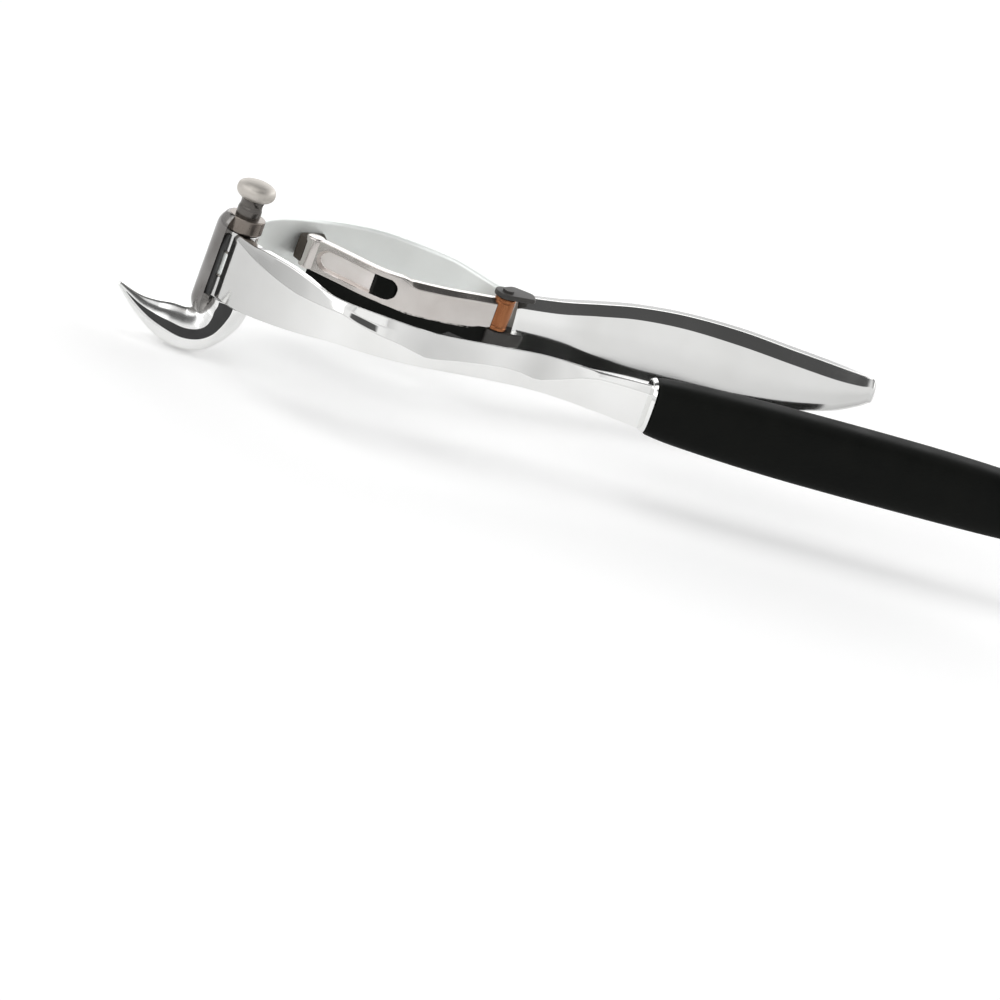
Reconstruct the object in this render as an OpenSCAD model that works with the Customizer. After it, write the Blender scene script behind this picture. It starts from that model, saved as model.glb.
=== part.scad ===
// Champagne opener: two hinged arms that grip a cork, with a wire hook in front.
// The origin is the centre of the gripped cork, halfway up the arms.
// +X runs along the tool to the handle ends, +Z along the hinge pin to the knob.
// Shapes are drawn from the hinge pin, and from_pin() moves them to the origin.

/* [Cork grip] */
// Radius of the cork seat
cork_r = 15; // [14.5:0.1:15.5]
// Cork centre ahead of the hinge pin, along the tool
cork_x = 31; // [30:0.5:32]
// Cork centre beside the hinge pin, towards the black grip
cork_side = 7; // [6.5:0.1:7.5]
// Height of the cork pad
pad_h = 5.6; // [5:0.1:5.8]
// Half of the arc that the cork pad covers, in degrees
pad_half_arc = 62; // [58:1:66]

/* [Arms] */
// Thickness of the arm bands
band_t = 2.8; // [2.4:0.1:3.2]
// Thickness of the tang inside the black grip
tang_t = 4.4; // [4:0.1:5]
// Height of the tangs inside both handles
tang_h = 6; // [5:0.5:7]

/* [Hinge] */
// Radius of the hinge knuckles
knuckle_r = 3.7; // [3.6:0.05:3.9]
// Outer radius of the hollow hinge pin
pin_r = 2.0; // [1.9:0.05:2.05]
// Radius of the bore in the hollow hinge pin
pin_bore_r = 1.2; // [1.15:0.05:1.25]
// Radial play of each running fit
play = 0.05; // [0.03:0.01:0.08]
// Top of the hinge knuckles above the middle of the arms
knuckle_top = 7.2; // [7:0.1:7.4]

/* [Knob] */
// Radius of the knob's head
knob_r = 4.1; // [3.8:0.1:4.4]
// Radius of the knob's neck
neck_r = 2.6; // [2.5:0.05:2.65]
// Top of the knob
knob_top = 18.8; // [18:0.2:20]
// Travel of the knob when it is pressed
knob_travel = 2; // [2:0.1:2.4]

/* [Hook] */
// Thickness of the hook's strap round the hinge
strap_t = 1.6; // [1.4:0.1:2]
// Radius of the hook's horn at its thickest
horn_r = 4.4; // [4:0.1:4.6]

/* [Handles] */
// Where the black grip starts, along the tool
grip_start = 89; // [88:0.5:90]
// Wall of the soft black sleeve
sleeve_t = 1.6; // [1.2:0.1:1.8]

/* [Hidden] */
$fn = 96;

chrome = [0.86, 0.86, 0.84];
nickel = [0.60, 0.57, 0.53];
steel = [0.70, 0.70, 0.70];
copper = [0.66, 0.38, 0.24];
soft_black = [0.08, 0.09, 0.08];
hard_black = [0.14, 0.14, 0.14];

// Heights along the hinge pin
lever_knuckle_top = 2.4;
washer_t = 0.3;
grip_knuckle_low = lever_knuckle_top + washer_t;
sleeve_top = 6.0;
ear_low = knuckle_top + 0.15;
ear_top = 10.5;
neck_low = 8.2;
neck_top = ear_top + knob_travel + 1.4;
dome_z = neck_top + 2;
pin_low = -11.6;
rod_low = -4;
rod_top = 10.5;
rod_r = pin_bore_r - play;
key_z = 5.25;
key_r = 0.5;
key_half = 2.6;
key_slot = 0.55;
closed_turn = 16;
knob_coil_low = -10.1;

// Play between parts that move past each other
swing_gap = 0.35;
strap_gap = 0.15;
washer_r = 2.85;

// The room for the arm spring, from the lower knuckle into the middle one
coil_room_r = 2.9;
coil_room_low = -5.6;
coil_room_top = -0.6;

// The hook: its ears and strap, its dowel, and the horn as points [along, up, share of horn_r]
ear_r = 3.9;
strap_r = knuckle_r + strap_gap + strap_t;
dowel_spot = [1.4, -2.5];
dowel_r = 0.6;
dowel_low = -9.6;
dowel_top = -6;
horn_points = [[2, -11.9, 0.97], [1, -14, 1], [-0.9, -15.9, 1.02], [-4.8, -16.2, 0.99],
               [-8.6, -15.6, 0.9], [-12.4, -14.8, 0.65], [-16, -13.4, 0.38], [-20.4, -10.9, 0.09]];

// The band of each arm seen from above: points on its middle line
grip_line = smooth([[-1.2, -1.5], [3.2, -9.5], [9, -17.2], [17, -22.6], [28, -25.1], [40, -23.6],
                    [55, -18.6], [68, -15.4], [80, -15.4], [91, -16.2]], 5);
lever_line = smooth([[-1.2, 1.5], [3.2, 9], [9, 17.2], [17, 24.3], [27.5, 29.8], [39, 31.8],
                     [50, 28.8], [58, 22.4], [66, 19.6], [76, 21.6], [90, 27.6], [104, 31.8]], 5);
// Upper and lower edge of the near band and of the wide one, along the tool
grip_tops = smooth([[-6, 7.15], [1.5, 7.15], [4, 7.6], [8, 7.9], [11.5, 7.4], [14.5, 6.6], [18, 5.5],
                    [22, 5], [28, 4.75], [40, 4.6], [54, 4.4], [64, 4.4], [76, 4.1],
                    [grip_start - 0.05, 4.6]], 4);
grip_lows = smooth([[-6, -7.15], [0, -7.15], [3, -6.6], [7, -5.5], [11, -4.6], [15, -3.8], [20, -3.1],
                    [26, -2.9], [36, -2.9], [48, -3.1], [58, -3.4], [70, -3.7], [80, -4.7],
                    [grip_start - 0.05, -5.4]], 4);
lever_tops = smooth([[-6, 6.8], [8, 6.8], [14, 6.4], [22, 5.9], [34, 5.8], [44, 5.4], [54, 5.2],
                     [60, 4.5], [65, 3.5], [76, 3.2]], 4);
lever_lows = smooth([[-6, -6.8], [8, -6.8], [20, -6.3], [34, -6], [48, -5.7], [56, -4.8], [61, -3.6],
                     [66, -2.9], [76, -2.9]], 4);

// The jaw's middle line, from its free end to the pivot bush
jaw_line = smooth([[19.8, 19.2], [26.2, 14.9], [31.5, 11.2], [35.5, 9.7], [41, 9.7], [48, 11],
                   [54.5, 13.1], [58.6, 14.4]], 6);
jaw_t = 2.6;
jaw_tops = [[10, 4.3], [37.8, 4.3], [39.4, 3.9], [48, 3.85], [70, 3.75]];
jaw_lows = [[10, -2.4], [36, -2.4], [46, -2.8], [54, -2.8], [56, -2.5], [70, -2.5]];
// Lower edge of the rubber guard under the jaw
guard_lows = [[10, -6.6], [26, -6.3], [35, -5.4], [46, -4.9], [70, -4.9]];
// Middle height of the jaw's pocket and of its bush
jaw_up = 0.9;
jaw_pivot = [60.6, 14.8];
bush_r = 2.2;
bush_half = 3.55;
jaw_pin_r = 1.2;
bead_r = 2.0;
pocket_x = [21.4, 37];
pad_x = 31.8;
pocket_half = 2.2;
pocket_deep = 1.2;
pad_proud = 0.25;
lug_half = 5.2;
bumper_gap = 0.05;

// Handle sections: [along, beside, up, width, height]
grip_sections = [[89, -16.2, 0, 8.6, 11.4], [97, -16.2, 0, 10.2, 13], [118, -16, 0, 11, 14.4],
                 [148, -15.8, 0.2, 11.2, 14.4], [168, -15.8, 0.2, 10.4, 13.4],
                 [174, -15.8, 0.2, 9, 11.8]];
shell_sections = [[64.6, 18, 0.6, 9.4, 7.8], [74, 21.2, 0, 10.4, 9.8], [92, 28.6, -1.1, 12, 13.8],
                  [110, 33.6, -1.7, 12.6, 14.4], [127, 37, -2.3, 11.8, 12.2],
                  [140, 39.4, -2, 9.4, 8.6], [147.5, 40.8, -1.2, 4.6, 5]];
// The tang inside the black grip, the cap behind the grip and the screw that holds it
tang_side = -16.2;
tang_start = grip_start - 1;
tang_end = 171;
cap_side = -15.8;
cap_end = 178;
screw_start = 163;
screw_r = 1.4;
screw_head_r = 2.4;
screw_head_t = 1.4;
thread_start = 160;

// The point of list p at place i, held inside the list
function held(p, i) = p[max(0, min(len(p) - 1, i))];
// A point at t between b and c on the smooth curve through a, b, c and d
function between(a, b, c, d, t) =
    0.5 * (2 * b + (c - a) * t + (2 * a - 5 * b + 4 * c - d) * t * t
           + (3 * b - a - 3 * c + d) * t * t * t);
// A smooth curve through the points p, with n steps from each point to the next
function smooth(p, n) =
    [for (i = [0:len(p) - 2]) for (k = [0:n - 1])
         between(held(p, i - 1), p[i], p[i + 1], held(p, i + 2), k / n), p[len(p) - 1]];
// The direction of line p at place i
function heading(p, i) = let (d = held(p, i + 1) - held(p, i - 1)) d / norm(d);
// The line p moved sideways by gap, to its left where gap is positive
function beside(p, gap) =
    [for (i = [0:len(p) - 1]) let (h = heading(p, i)) p[i] + gap * [-h[1], h[0]]];
function reversed(p) = [for (i = [len(p) - 1:-1:0]) p[i]];
function stretch(p, first, last) = [for (i = [first:last]) p[i]];

module from_pin() translate([-cork_x, cork_side, 0]) children();
// The middle of the jaw's pivot
module at_pivot() translate([jaw_pivot[0], jaw_pivot[1], jaw_up]) children();

// A wall along line p, from gap a to gap b beside it, of half height half
module wall(p, a, b, half)
    translate([0, 0, -half])
    linear_extrude(2 * half) polygon(concat(beside(p, a), reversed(beside(p, b))));

// A block that bounds the height of a band: its outline is seen from the side
module height_bound(outline)
    rotate([90, 0, 0]) linear_extrude(140, center = true) polygon(outline);

// An upright cylinder from z = low to z = high
module post(r, low, high) translate([0, 0, low]) cylinder(r = r, h = high - low);

// A tube from z = low to z = high
module ring(outer, inner, low, high)
    difference() {
        post(outer, low, high);
        post(inner, low - 1, high + 1);
    }

// A thin rounded slab across a handle: s holds [along, beside, up, width, height]
module slab(s, shrink, corner)
    for (side = [-1, 1], up = [-1, 1])
        translate([s[0], s[1] + side * (s[3] / 2 - shrink - corner),
                   s[2] + up * (s[4] / 2 - shrink - corner)])
        rotate([0, 90, 0]) cylinder(r = corner, h = 0.02, $fn = 24);

// A handle through its sections, made smaller all round by shrink
module handle(sections, shrink, corner)
    for (i = [0:len(sections) - 2])
        hull() {
            slab(sections[i], shrink, corner);
            slab(sections[i + 1], shrink, corner);
        }

// A coil spring: its wire's rings climb a helix, 12 to a turn
module coil(r, wire_r, turns, pitch) {
    echo(coil_gap = pitch - 2 * wire_r);
    rings = 12;
    sides = 6;
    last = turns * rings;
    points = [for (i = [0:last]) for (j = [0:sides - 1])
                  let (turn = 360 * i / rings, a = 360 * j / sides, out = r + wire_r * cos(a))
                  [out * cos(turn), out * sin(turn), wire_r * sin(a) + pitch * i / rings]];
    skin = [for (i = [0:last - 1]) for (j = [0:sides - 1])
                let (a = i * sides + j, b = i * sides + (j + 1) % sides)
                each [[a, a + sides, b + sides], [a, b + sides, b]]];
    low_end = [for (j = [1:sides - 2]) [0, j, j + 1]];
    high_end = [for (j = [1:sides - 2]) [last * sides, last * sides + j + 1, last * sides + j]];
    polyhedron(points, concat(skin, low_end, high_end));
}

// The curved band of the arm with the black grip
module grip_band()
    intersection() {
        wall(grip_line, -band_t / 2, band_t / 2, 8);
        height_bound(concat(grip_tops, reversed(grip_lows)));
    }

// The wide curved band of the lever
module lever_band()
    intersection() {
        wall(stretch(lever_line, 0, 45), -band_t / 2, band_t / 2, 8);
        height_bound(concat(lever_tops, reversed(lever_lows)));
    }

// The arm with the black grip: two knuckles, the curved band and the tang
module grip_arm() color(chrome) from_pin()
    difference() {
        union() {
            grip_band();
            post(knuckle_r, grip_knuckle_low, knuckle_top);
            post(knuckle_r, -knuckle_top, -grip_knuckle_low);
            tang(tang_start, tang_end);
        }
        post(knuckle_r + swing_gap, -grip_knuckle_low, grip_knuckle_low);
        post(pin_r + play, -10, 10);
        post(neck_r + play, sleeve_top, 10);
        post(coil_room_r, coil_room_low, -2);
        key_way(grip_knuckle_low - 1, 10);
        translate(dowel_spot) post(dowel_r, -8, dowel_top);
        screw_hole(screw_r, thread_start);
    }

// The tang's bar from low to high along the tool
module tang(low, high)
    translate([low, tang_side - tang_t / 2, -tang_h / 2]) cube([high - low, tang_t, tang_h]);

// A hole along the grip, from start to behind the cap
module screw_hole(r, start)
    translate([start, tang_side, 0]) rotate([0, 90, 0]) cylinder(r = r, h = 20);

// The slot that the knob's cross key slides in
module key_way(low, high)
    translate([-key_slot, -key_half - 0.15, low])
    cube([2 * key_slot, 2 * key_half + 0.3, high - low]);

// The rubber pad in the curved band: its hollow is the cork seat
module cork_pad() color(soft_black) from_pin()
    difference() {
        intersection() {
            translate([0, 0, -pad_h / 2]) linear_extrude(pad_h)
            polygon(concat(beside(grip_line, band_t / 2), [[60, 0], [8, 0]]));
            translate([cork_x, -cork_side, -pad_h / 2]) linear_extrude(pad_h)
            polygon([[0, 0], 30 * [-sin(pad_half_arc), -cos(pad_half_arc)], [-27, -40], [27, -40],
                     30 * [sin(pad_half_arc), -cos(pad_half_arc)]]);
        }
        translate([cork_x, -cork_side, 0]) cylinder(r = cork_r, h = 2 * pad_h, center = true);
    }

// The hollow pin that the arms turn on, slotted for the knob's key
module hinge_sleeve() color(steel) from_pin()
    difference() {
        post(pin_r, pin_low, sleeve_top);
        post(pin_bore_r, pin_low + 1.2, sleeve_top + 1);
        key_way(grip_knuckle_low, sleeve_top + 1);
    }

// The two thin washers between the knuckles
module hinge_washers() color(nickel) from_pin()
    for (low = [lever_knuckle_top, -grip_knuckle_low])
        ring(knuckle_r - 0.1, washer_r, low, low + washer_t);

// The spring round the hinge pin that holds the arms apart
module arm_spring() color(steel) from_pin()
    translate([0, 0, -5.1]) coil(2.45, 0.25, 4, 0.95);

// The hook: two ears and a strap round the hinge, and a horn that lifts the wire
module wire_hook() color(chrome) from_pin()
    difference() {
        union() {
            post(ear_r, ear_low, ear_top);
            post(ear_r + 0.3, -11.9, -ear_low);
            intersection() {
                ring(strap_r, strap_r - strap_t, -10.6, ear_top);
                linear_extrude(40, center = true)
                polygon([[0, 0], [-8, 6.6], [-8, -6.6]]);
            }
            for (i = [0:len(horn_points) - 2])
                hull()
                    for (p = [horn_points[i], horn_points[i + 1]])
                        translate([p[0], 0, p[1]]) sphere(r = horn_r * p[2], $fn = 24);
        }
        post(neck_r + play, 0, 12);
        post(pin_r, pin_low, 0);
        post(knuckle_r + strap_gap, -ear_low, ear_low);
        translate(dowel_spot) post(dowel_r, dowel_low, -7);
    }

// The dowel that stops the hook turning on the black arm
module hook_dowel() color(steel) from_pin()
    translate(dowel_spot) post(dowel_r, dowel_low, dowel_top);

// The bright collar at the front of the black grip
module grip_ferrule() color(chrome) from_pin()
    difference() {
        hull() {
            slab([grip_start - 1, tang_side + 0.1, 0, 7.4, 10.6], 0, 2);
            slab([grip_start - 0.02, tang_side, 0, 8.7, 11.5], 0, 2.6);
        }
        grip_band();
        tang(tang_start, tang_start + 10);
    }

// The hard core moulded round the tang
module grip_core() color(hard_black) from_pin()
    difference() {
        handle(grip_sections, sleeve_t, 1.6);
        tang(tang_start, tang_end);
        screw_hole(screw_r + play, thread_start);
    }

// The soft black sleeve over the core
module grip_sleeve() color(soft_black) from_pin()
    difference() {
        handle(grip_sections, 0, 3.2);
        handle([for (s = grip_sections) [s[0] + (s[0] < 90 ? -1 : s[0] > 173 ? 1 : 0),
                                         s[1], s[2], s[3], s[4]]], sleeve_t - 0.02, 1.62);
    }

// The cap that closes the black grip
module grip_cap() color(hard_black) from_pin()
    difference() {
        hull() {
            slab([cap_end - 3.98, cap_side, 0.2, 9, 11.8], 0, 3.2);
            slab([cap_end - 1.2, cap_side, 0.2, 8, 10.6], 0, 3.2);
            slab([cap_end - 0.02, cap_side, 0.2, 6, 8.6], 0, 2.6);
        }
        screw_hole(screw_r + play, tang_end);
        screw_hole(screw_head_r + 0.1, cap_end - screw_head_t - 0.4);
    }

// The screw that holds the cap to the tang
module tang_screw() color(steel) from_pin()
    translate([0, tang_side, 0]) rotate([0, 90, 0])
    difference() {
        union() {
            post(screw_r, screw_start, cap_end - screw_head_t - 0.4);
            post(screw_head_r, cap_end - screw_head_t - 0.4, cap_end - 0.4);
        }
        translate([-0.3, -3, cap_end - 1]) cube([0.6, 6, 2]);
    }

// The spring under the knob's rod
module knob_spring() color(steel) from_pin()
    translate([0, 0, knob_coil_low]) coil(0.8, 0.2, 6, 0.95);

// The chrome arm: the middle knuckle, the wide band, the jaw's lugs and the tang
module lever_arm() color(chrome) from_pin()
    difference() {
        union() {
            lever_band();
            wall(stretch(lever_line, 40, 55), -band_t / 2, band_t / 2, tang_h / 2);
            post(knuckle_r, -lever_knuckle_top, lever_knuckle_top);
            translate([0, 0, jaw_up - lug_half]) linear_extrude(2 * lug_half)
            polygon([jaw_pivot + [-3, 0], jaw_pivot + [3.9, 0], [64.5, 20], [57, 23]]);
            at_pivot() post(3, -lug_half, lug_half);
        }
        post(pin_r + play, -10, 10);
        post(coil_room_r, -3, coil_room_top);
        lever_clear(lever_knuckle_top);
        mirror([0, 0, 1]) lever_clear(lever_knuckle_top);
        rotate([0, 0, closed_turn]) key_way(lever_knuckle_top - 1.5, 4);
        at_pivot() {
            post(3.9, -bush_half - 0.1, bush_half + 0.1);
            post(jaw_pin_r, -lug_half - 1, lug_half + 1);
            translate([-12, -12, -bush_half - 0.1]) cube([12, 14.5, 2 * bush_half + 0.2]);
        }
    }

// The space that the black arm's knuckle turns in
module lever_clear(low) post(knuckle_r + swing_gap, low, 10);

// The chrome handle over the lever arm's tang
module lever_shell() color(chrome) from_pin()
    difference() {
        handle(shell_sections, 0, 2.2);
        wall(stretch(lever_line, 35, 55), -band_t / 2, band_t / 2, tang_h / 2);
        lever_band();
    }

// The pin that holds the jaw between the lever's lugs
module jaw_pin() color(steel) from_pin() at_pivot() post(jaw_pin_r, -lug_half, lug_half);

// The rubber block that the jaw's free end leans on
module jaw_bumper() color(soft_black) from_pin()
    difference() {
        intersection() {
            translate([0, 0, jaw_up - 2.5]) linear_extrude(5)
            polygon([[16, 20], [24, 20], [24, 40], [16, 40]]);
            wall(lever_line, -band_t / 2 - 4, -band_t / 2, 5);
        }
        translate([jaw_line[0][0], jaw_line[0][1], 0])
        cylinder(r = bead_r + bumper_gap, h = 20, center = true);
        wall(jaw_line, -jaw_t, jaw_t / 2 + 0.3, 8);
    }

// The pocket in the jaw's face: its outline seen from the side is a slot with round ends
module pocket(low_x, deep, proud)
    intersection() {
        wall(stretch(jaw_line, 1, 26), -jaw_t / 2 - proud, -jaw_t / 2 + deep, 6);
        translate([0, 0, jaw_up]) rotate([90, 0, 0]) linear_extrude(80, center = true)
        polygon(concat(low_x > pocket_x[0] ? [[low_x, pocket_half], [low_x, -pocket_half]]
                                           : round_end(pocket_x[0] + pocket_half, 90),
                       round_end(pocket_x[1] - pocket_half, -90)));
    }

// Half a circle of points round x, from the angle start
function round_end(x, start) =
    [for (a = [0:15:180]) [x + pocket_half * cos(start + a), pocket_half * sin(start + a)]];

// The jaw that presses the cork into its seat
module clamp_jaw() color(chrome) from_pin()
    difference() {
        union() {
            intersection() {
                wall(jaw_line, -jaw_t / 2, jaw_t / 2, 8);
                height_bound(concat(jaw_tops, reversed(jaw_lows)));
            }
            translate([jaw_line[0][0], jaw_line[0][1], 0])
            post(bead_r, jaw_lows[0][1], jaw_tops[0][1]);
        }
        pocket(0, pocket_deep, 2);
        at_pivot() post(bush_r, -10, 10);
    }

// The copper bush that the jaw swings on
module jaw_bush() color(copper) from_pin()
    at_pivot() ring(bush_r, jaw_pin_r + play, -bush_half, bush_half);

// The black rubber at the cork's end of the pocket
module jaw_pad() color(soft_black) from_pin()
    pocket(pad_x, pocket_deep, pad_proud);

// The rubber guard along the jaw's lower edge, which keeps it off the glass
module jaw_guard() color(soft_black) from_pin()
    intersection() {
        wall(stretch(jaw_line, 1, 38), -jaw_t / 2, jaw_t / 2, 8);
        height_bound(concat(jaw_lows, reversed(guard_lows)));
    }

// The knob: a neck that slides in the upper ear, under a domed head
module lock_knob() color(nickel) from_pin()
    difference() {
        rotate_extrude()
        polygon(concat([[0, neck_low], [neck_r, neck_low], [neck_r, neck_top],
                        [knob_r - 0.5, neck_top + 0.6]],
                       [for (a = [0:10:90]) [knob_r * cos(a), dome_z + (knob_top - dome_z) * sin(a)]]));
        post(rod_r, neck_low - 1, rod_top);
    }

// The rod inside the hinge pin
module lock_rod() color(steel) from_pin()
    difference() {
        post(rod_r, rod_low, rod_top);
        translate([0, 0, key_z]) rotate([90, 0, 0])
        cylinder(r = key_r, h = 10, center = true);
    }

// The cross key that drops into the lever arm's notch when the arms are closed
module lock_key() color(steel) from_pin()
    translate([0, 0, key_z]) rotate([90, 0, 0])
    cylinder(r = key_r, h = 2 * key_half, center = true);

grip_arm();
cork_pad();
hinge_sleeve();
hinge_washers();
arm_spring();
wire_hook();
hook_dowel();
grip_ferrule();
grip_core();
grip_sleeve();
grip_cap();
tang_screw();
knob_spring();
lever_arm();
lever_shell();
jaw_pin();
jaw_bumper();
clamp_jaw();
jaw_bush();
jaw_pad();
jaw_guard();
lock_knob();
lock_rod();
lock_key();
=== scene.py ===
import math
import bpy
import numpy as np
from mathutils import Matrix, Vector


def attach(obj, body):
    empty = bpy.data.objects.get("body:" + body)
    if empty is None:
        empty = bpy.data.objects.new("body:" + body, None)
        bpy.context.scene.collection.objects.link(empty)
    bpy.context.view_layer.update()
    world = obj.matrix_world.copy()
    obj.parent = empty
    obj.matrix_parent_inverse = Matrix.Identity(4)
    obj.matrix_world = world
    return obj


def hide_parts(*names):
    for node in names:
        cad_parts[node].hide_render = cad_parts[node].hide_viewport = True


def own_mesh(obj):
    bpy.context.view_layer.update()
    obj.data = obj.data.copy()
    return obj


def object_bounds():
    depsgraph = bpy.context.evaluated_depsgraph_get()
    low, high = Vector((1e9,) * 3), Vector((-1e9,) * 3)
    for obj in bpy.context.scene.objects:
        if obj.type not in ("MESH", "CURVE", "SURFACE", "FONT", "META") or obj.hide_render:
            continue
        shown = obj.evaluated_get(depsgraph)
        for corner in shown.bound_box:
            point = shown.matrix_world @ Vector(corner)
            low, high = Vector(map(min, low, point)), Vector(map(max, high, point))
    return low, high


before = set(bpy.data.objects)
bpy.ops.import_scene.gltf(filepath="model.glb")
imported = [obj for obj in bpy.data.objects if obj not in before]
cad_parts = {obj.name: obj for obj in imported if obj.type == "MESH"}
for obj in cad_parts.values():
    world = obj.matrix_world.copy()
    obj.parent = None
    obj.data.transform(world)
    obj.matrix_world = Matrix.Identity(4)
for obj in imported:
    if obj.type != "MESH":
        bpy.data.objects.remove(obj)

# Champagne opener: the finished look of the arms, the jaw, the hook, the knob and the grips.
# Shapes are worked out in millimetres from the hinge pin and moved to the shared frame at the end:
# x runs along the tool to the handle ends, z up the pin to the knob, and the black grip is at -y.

cad_low, cad_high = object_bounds()
PIN = np.array([-31.0, 7.0, 0.0])
MM = 0.001


# Camera and studio

# Azimuth, elevation and roll of the view in degrees, the picture's width in points, where the hinge pin
# lands in it, and the picture's points to a metre at the tool.
VIEW = (-14, 17, 20)
PICTURE = 1000.0
PIN_ACROSS, PIN_DOWN = 231, 262
POINTS_PER_METRE = 4900.0

FLOOR_Z = cad_low.z
FLOOR_HALF = 6.0
FLOOR_GLOW = 0.19

# Height of the view, from the horizon at 0 to overhead at 1, and the room's grey there.
ROOM_TONES = ((0.0, 0.66), (0.06, 0.76), (0.14, 0.88), (0.24, 0.86), (0.42, 0.98), (0.53, 1.0),
              (0.62, 0.10), (0.915, 0.09), (0.96, 0.85), (1.0, 0.95))

# Name, azimuth and elevation in degrees, distance, width and height in metres, and watts of each softbox.
# They all face LIT_PLACE.
SOFTBOXES = (("front_left_box", -56, 35, 1.3, 2.0, 0.75, 4.8),
             ("side_box", 112, 33, 1.3, 1.2, 0.8, 4.4),
             ("back_box", 166, 20, 1.3, 1.7, 0.5, 3.2),
             ("high_box", -95, 64, 1.2, 1.0, 1.0, 3.4))
LIT_PLACE = (0.035, 0, 0)


def aim(place, right, up):
    """The matrix of an object at place with its x axis to the right and its y axis up. It looks along
    -(right x up)."""
    right, up = Vector(right).normalized(), Vector(up).normalized()
    back = right.cross(up)
    turn = Matrix((right, up, back)).transposed().to_4x4()
    return Matrix.Translation(Vector(place)) @ turn


def view_axes(azimuth, elevation, roll):
    """Right, up and back of a camera: azimuth turns it round z, elevation lifts it and roll turns its
    picture."""
    a, e, r = (math.radians(v) for v in (azimuth, elevation, roll))
    right = Vector((math.cos(a), math.sin(a), 0))
    back = Vector((math.sin(a) * math.cos(e), -math.cos(a) * math.cos(e), math.sin(e)))
    up = back.cross(right)
    return (right * math.cos(r) + up * math.sin(r), up * math.cos(r) - right * math.sin(r), back)


def add(name, data):
    """A new object in the scene."""
    obj = bpy.data.objects.new(name, data)
    bpy.context.scene.collection.objects.link(obj)
    return obj


def make_camera():
    """A long lens at the photograph's angle, with the hinge pin at its place in the picture."""
    right, up, back = view_axes(*VIEW)
    aside = (PICTURE / 2 - PIN_ACROSS) / POINTS_PER_METRE
    above = (PICTURE / 2 - PIN_DOWN) / POINTS_PER_METRE
    target = Vector(PIN) * MM + right * aside - up * above
    data = bpy.data.cameras.new("camera")
    data.sensor_width = 36
    data.lens = 1000
    data.clip_start, data.clip_end = 0.05, 40
    distance = PICTURE / POINTS_PER_METRE * data.lens / data.sensor_width
    camera = add("camera", data)
    camera.matrix_world = aim(target + back * distance, right, up)
    bpy.context.scene.camera = camera


def softbox(name, azimuth, elevation, distance, width, height, power):
    """A flat area lamp on a sphere round the tool, turned to face it."""
    data = bpy.data.lights.new(name, "AREA")
    data.shape, data.size, data.size_y = "RECTANGLE", width, height
    data.energy = power
    lamp = add(name, data)
    right, up, back = view_axes(azimuth, elevation, 0)
    lamp.matrix_world = aim(Vector(LIT_PLACE) + back * distance, right, up)
    lamp.visible_camera = False


def link(tree, source, target):
    """Joins two sockets of a node tree."""
    tree.links.new(source, target)


def paint(name):
    """A new material, its node tree and its shader."""
    material = bpy.data.materials.new(name)
    material.use_nodes = True
    tree = material.node_tree
    return material, tree, tree.nodes["Principled BSDF"]


def coordinate(tree, space, axis):
    """One axis of a texture coordinate."""
    place = tree.nodes.new("ShaderNodeTexCoord")
    split = tree.nodes.new("ShaderNodeSeparateXYZ")
    link(tree, place.outputs[space], split.inputs[0])
    return split.outputs[axis]


def make_floor():
    """A white floor under the hook. It glows a little for the camera and in mirrors, which makes it white
    there and keeps the tool's shadow."""
    mesh = bpy.data.meshes.new("floor")
    corners = [(x * FLOOR_HALF, y * FLOOR_HALF, FLOOR_Z) for x, y in ((-1, -1), (1, -1), (1, 1), (-1, 1))]
    mesh.from_pydata(corners, [], [(0, 1, 2, 3)])
    floor = add("floor", mesh)
    material, tree, shader = paint("pale_floor")
    shader.inputs["Base Color"].default_value = (0.93, 0.93, 0.93, 1)
    shader.inputs["Roughness"].default_value = 0.8
    shader.inputs["Specular IOR Level"].default_value = 0.2
    path = tree.nodes.new("ShaderNodeLightPath")
    seen = path.outputs["Is Camera Ray"]
    for other in ("Is Glossy Ray", "Is Transmission Ray"):
        either = tree.nodes.new("ShaderNodeMath")
        either.operation = "MAXIMUM"
        link(tree, seen, either.inputs[0])
        link(tree, path.outputs[other], either.inputs[1])
        seen = either.outputs[0]
    glow = tree.nodes.new("ShaderNodeMath")
    glow.operation = "MULTIPLY"
    glow.inputs[1].default_value = FLOOR_GLOW
    link(tree, seen, glow.inputs[0])
    shader.inputs["Emission Color"].default_value = (1, 1, 1, 1)
    link(tree, glow.outputs[0], shader.inputs["Emission Strength"])
    mesh.materials.append(material)


def make_room():
    """A room whose grey follows the height of the view: pale up to the middle, dark above it and pale
    again overhead."""
    world = bpy.data.worlds.new("room")
    bpy.context.scene.world = world
    world.use_nodes = True
    tree = world.node_tree
    ramp = tree.nodes.new("ShaderNodeValToRGB")
    link(tree, coordinate(tree, "Generated", "Z"), ramp.inputs[0])
    link(tree, ramp.outputs[0], tree.nodes["Background"].inputs["Color"])
    ramp.color_ramp.interpolation = "EASE"
    while len(ramp.color_ramp.elements) < len(ROOM_TONES):
        ramp.color_ramp.elements.new(0.5)
    for element, (height, grey) in zip(ramp.color_ramp.elements, ROOM_TONES):
        element.position = height
        element.color = (grey, grey, grey, 1)


def make_studio():
    """The floor, the room and four wide softboxes."""
    make_floor()
    make_room()
    for values in SOFTBOXES:
        softbox(*values)


# Finishes

# The part of the noise's range that is spread over a tint or a roughness.
NOISE_LOW, NOISE_HIGH = 0.3, 0.7

# A speckle that isn't stretched.
EVEN = (1, 1, 1)


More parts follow.
